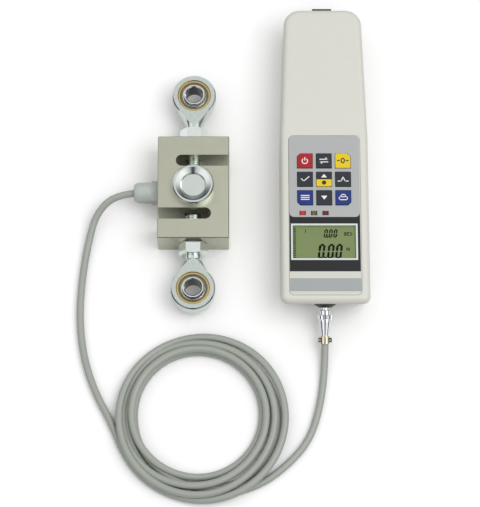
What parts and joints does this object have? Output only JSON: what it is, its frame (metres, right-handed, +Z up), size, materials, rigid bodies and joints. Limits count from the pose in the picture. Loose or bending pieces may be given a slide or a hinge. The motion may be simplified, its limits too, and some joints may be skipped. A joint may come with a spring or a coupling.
{
  "type": "force gauge",
  "caption": "Hand-held digital force display with keypad and screen, joined by a coiled cable to an S-shaped load cell with a ball-jointed rod end on each end.",
  "frame": {"origin": "on the table, under the middle of the display unit and load cell together, cable left out", "axes": "+Y from the screen's end of the display unit towards its data port, +X from the load cell towards the display unit, +Z up out of the keypad"},
  "size_m": [0.2108, 0.3713, 0.0374],
  "materials": {
    "housing_plastic": "fine matt",
    "overlay_film": "satin film",
    "panel_film": "satin film",
    "label_film": "satin film",
    "frame_plastic": "satin",
    "clear_window": "polished",
    "crystal": "satin",
    "circuit_board": "solder mask",
    "black_plastic": "matt",
    "light_red": "clear",
    "key_red": "satin",
    "key_yellow": "satin",
    "key_blue": "satin",
    "key_dark": "satin",
    "cell_sleeve": "shrink sleeve",
    "zinc_steel": "zinc plated",
    "spring_steel": "bright",
    "cell_steel": "satin nickel plated",
    "chrome": "bright",
    "brass": "turned",
    "gauge_foil": "foil",
    "gland_plastic": "moulded polyamide",
    "seal_rubber": "matt",
    "cable_jacket": "matt jacket"
  },
  "bodies": {
    "instrument": {"front_housing": "housing_plastic", "rear_housing": "housing_plastic", "housing_screws": "zinc_steel", "mounting_inserts": "brass", "front_insert": "housing_plastic", "keypad_overlay": "overlay_film", "display_panel": "panel_film", "label_strip": "label_film", "display_frame": "frame_plastic", "display_window": "clear_window", "crystal_glass": "crystal", "front_board": "circuit_board", "snap_domes": "spring_steel", "status_lights": "light_red", "main_circuit_board": "circuit_board", "board_screws": "zinc_steel", "battery_holder": "black_plastic", "battery_cells": "cell_sleeve", "data_port": "black_plastic", "port_jack_screws": "zinc_steel", "sensor_socket": "brass", "socket_nut": "black_plastic", "load_cell_body": "cell_steel", "front_cap": "chrome", "rear_cap": "cell_steel", "strain_gauges": "gauge_foil", "terminal_board": "circuit_board", "gland_body": "gland_plastic", "gland_nut": "gland_plastic", "gland_seal": "seal_rubber", "plug_shell": "chrome", "plug_clamp": "chrome", "clamp_screws": "zinc_steel", "plug_contacts": "black_plastic", "cord_from_cell": "cable_jacket", "cord_coil": "cable_jacket", "cord_to_plug": "cable_jacket", "upper_rod_end": "zinc_steel", "upper_race": "brass", "upper_lock_nut": "zinc_steel", "lower_rod_end": "zinc_steel", "lower_race": "brass", "lower_lock_nut": "zinc_steel"},
    "key_power_body": {"key_power": "key_red"},
    "key_unit_body": {"key_unit": "key_dark"},
    "key_zero_body": {"key_zero": "key_yellow"},
    "key_set_body": {"key_set": "key_dark"},
    "key_up_body": {"key_up": "key_dark"},
    "key_peak_body": {"key_peak": "key_dark"},
    "key_memory_body": {"key_memory": "key_blue"},
    "key_down_body": {"key_down": "key_dark"},
    "key_print_body": {"key_print": "key_blue"},
    "upper_ball_body": {"upper_ball": "chrome"},
    "lower_ball_body": {"lower_ball": "chrome"},
    "coupling_ring_body": {"coupling_ring": "chrome"}
  },
  "joints": [
    {"name": "key_power_press", "type": "slide", "parent": "instrument", "child": "key_power_body", "axis": [0, 0, -1], "range_m": [0, 0.0005], "stiffness_N_per_m": 800, "springref_m": -0.001},
    {"name": "key_unit_press", "type": "slide", "parent": "instrument", "child": "key_unit_body", "axis": [0, 0, -1], "range_m": [0, 0.0005], "stiffness_N_per_m": 800, "springref_m": -0.001},
    {"name": "key_zero_press", "type": "slide", "parent": "instrument", "child": "key_zero_body", "axis": [0, 0, -1], "range_m": [0, 0.0005], "stiffness_N_per_m": 800, "springref_m": -0.001},
    {"name": "key_set_press", "type": "slide", "parent": "instrument", "child": "key_set_body", "axis": [0, 0, -1], "range_m": [0, 0.0005], "stiffness_N_per_m": 800, "springref_m": -0.001},
    {"name": "key_up_press", "type": "slide", "parent": "instrument", "child": "key_up_body", "axis": [0, 0, -1], "range_m": [0, 0.0005], "stiffness_N_per_m": 800, "springref_m": -0.001},
    {"name": "key_peak_press", "type": "slide", "parent": "instrument", "child": "key_peak_body", "axis": [0, 0, -1], "range_m": [0, 0.0005], "stiffness_N_per_m": 800, "springref_m": -0.001},
    {"name": "key_memory_press", "type": "slide", "parent": "instrument", "child": "key_memory_body", "axis": [0, 0, -1], "range_m": [0, 0.0005], "stiffness_N_per_m": 800, "springref_m": -0.001},
    {"name": "key_down_press", "type": "slide", "parent": "instrument", "child": "key_down_body", "axis": [0, 0, -1], "range_m": [0, 0.0005], "stiffness_N_per_m": 800, "springref_m": -0.001},
    {"name": "key_print_press", "type": "slide", "parent": "instrument", "child": "key_print_body", "axis": [0, 0, -1], "range_m": [0, 0.0005], "stiffness_N_per_m": 800, "springref_m": -0.001},
    {"name": "upper_ball_tilt", "type": "hinge", "parent": "instrument", "child": "upper_ball_body", "pos_m": [-0.0415, 0.0493, 0.014], "axis": [1, 0, 0], "range_deg": [-13, 13]},
    {"name": "lower_ball_tilt", "type": "hinge", "parent": "instrument", "child": "lower_ball_body", "pos_m": [-0.0415, -0.0991, 0.014], "axis": [1, 0, 0], "range_deg": [-13, 13]},
    {"name": "coupling_ring_turn", "type": "hinge", "parent": "instrument", "child": "coupling_ring_body", "pos_m": [0.0532, -0.11934, 0.01426], "axis": [0, -0.9455, -0.3256], "continuous": true}
  ]
}
